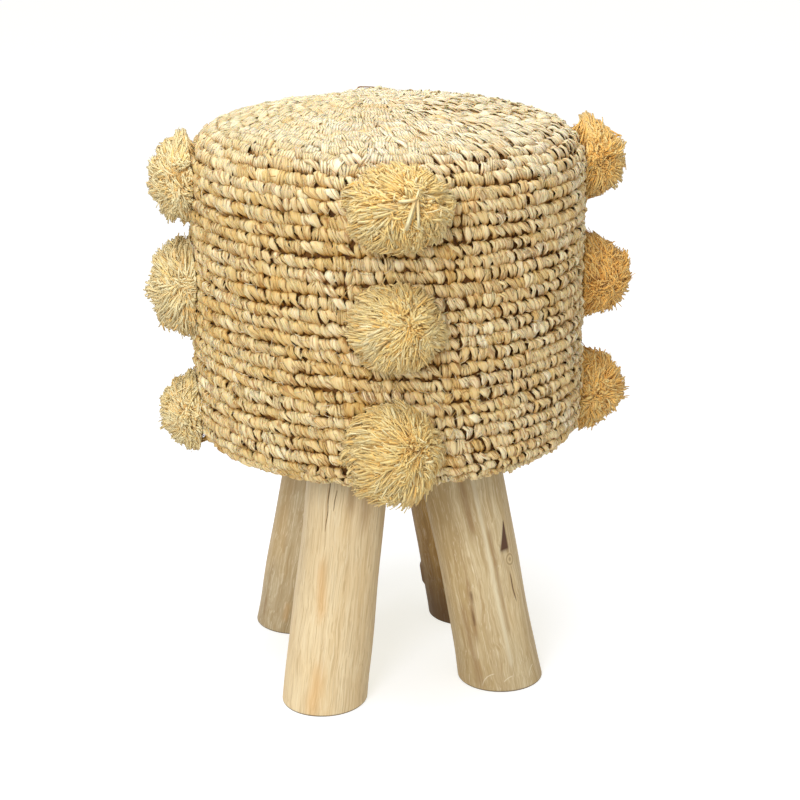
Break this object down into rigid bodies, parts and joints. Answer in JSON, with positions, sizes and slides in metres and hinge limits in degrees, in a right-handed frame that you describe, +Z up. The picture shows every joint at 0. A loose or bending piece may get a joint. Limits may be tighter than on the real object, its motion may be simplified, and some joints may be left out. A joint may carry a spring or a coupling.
{
  "type": "pouf stool",
  "caption": "Round padded stool with a crocheted raffia cover, raffia pompoms sewn to its wall and splayed log legs.",
  "frame": {"origin": "on the floor, under the middle of the drum", "axes": "+Z up, -Y towards the front pompoms, +X to the right as seen from the front"},
  "size_m": [0.3679, 0.3665, 0.45],
  "materials": {
    "leaf": "satin",
    "pompom": "satin",
    "log": "satin",
    "plywood": "matte",
    "foam": "matte",
    "calico": "matte",
    "dust_cloth": "matte",
    "steel": "satin"
  },
  "bodies": {
    "root": {"leg_front_left": "log", "leg_front_right": "log", "leg_back_right": "log", "leg_back_left": "log", "leg_washer_front_left": "steel", "leg_washer_front_right": "steel", "leg_washer_back_right": "steel", "leg_washer_back_left": "steel", "leg_screw_front_left": "steel", "leg_screw_front_right": "steel", "leg_screw_back_right": "steel", "leg_screw_back_left": "steel", "hem_staple_01": "steel", "hem_staple_02": "steel", "hem_staple_03": "steel", "hem_staple_04": "steel", "hem_staple_05": "steel", "hem_staple_06": "steel", "hem_staple_07": "steel", "hem_staple_08": "steel", "hem_staple_09": "steel", "hem_staple_10": "steel", "hem_staple_11": "steel", "hem_staple_12": "steel", "pompom_front_top": "pompom", "pompom_front_middle": "pompom", "pompom_front_bottom": "pompom", "pompom_left_top": "pompom", "pompom_left_middle": "pompom", "pompom_left_bottom": "pompom", "pompom_right_top": "pompom", "pompom_right_middle": "pompom", "pompom_right_bottom": "pompom", "pompom_back_top": "pompom", "pompom_back_middle": "pompom", "pompom_back_bottom": "pompom", "pompom_tie_front_top": "leaf", "pompom_tie_front_middle": "leaf", "pompom_tie_front_bottom": "leaf", "pompom_tie_left_top": "leaf", "pompom_tie_left_middle": "leaf", "pompom_tie_left_bottom": "leaf", "pompom_tie_right_top": "leaf", "pompom_tie_right_middle": "leaf", "pompom_tie_right_bottom": "leaf", "pompom_tie_back_top": "leaf", "pompom_tie_back_middle": "leaf", "pompom_tie_back_bottom": "leaf", "raffia_cover": "leaf", "inner_lining": "calico", "dust_cover": "dust_cloth", "base_board": "plywood", "foam_block": "foam", "crown_pad": "foam"}
  },
  "joints": []
}
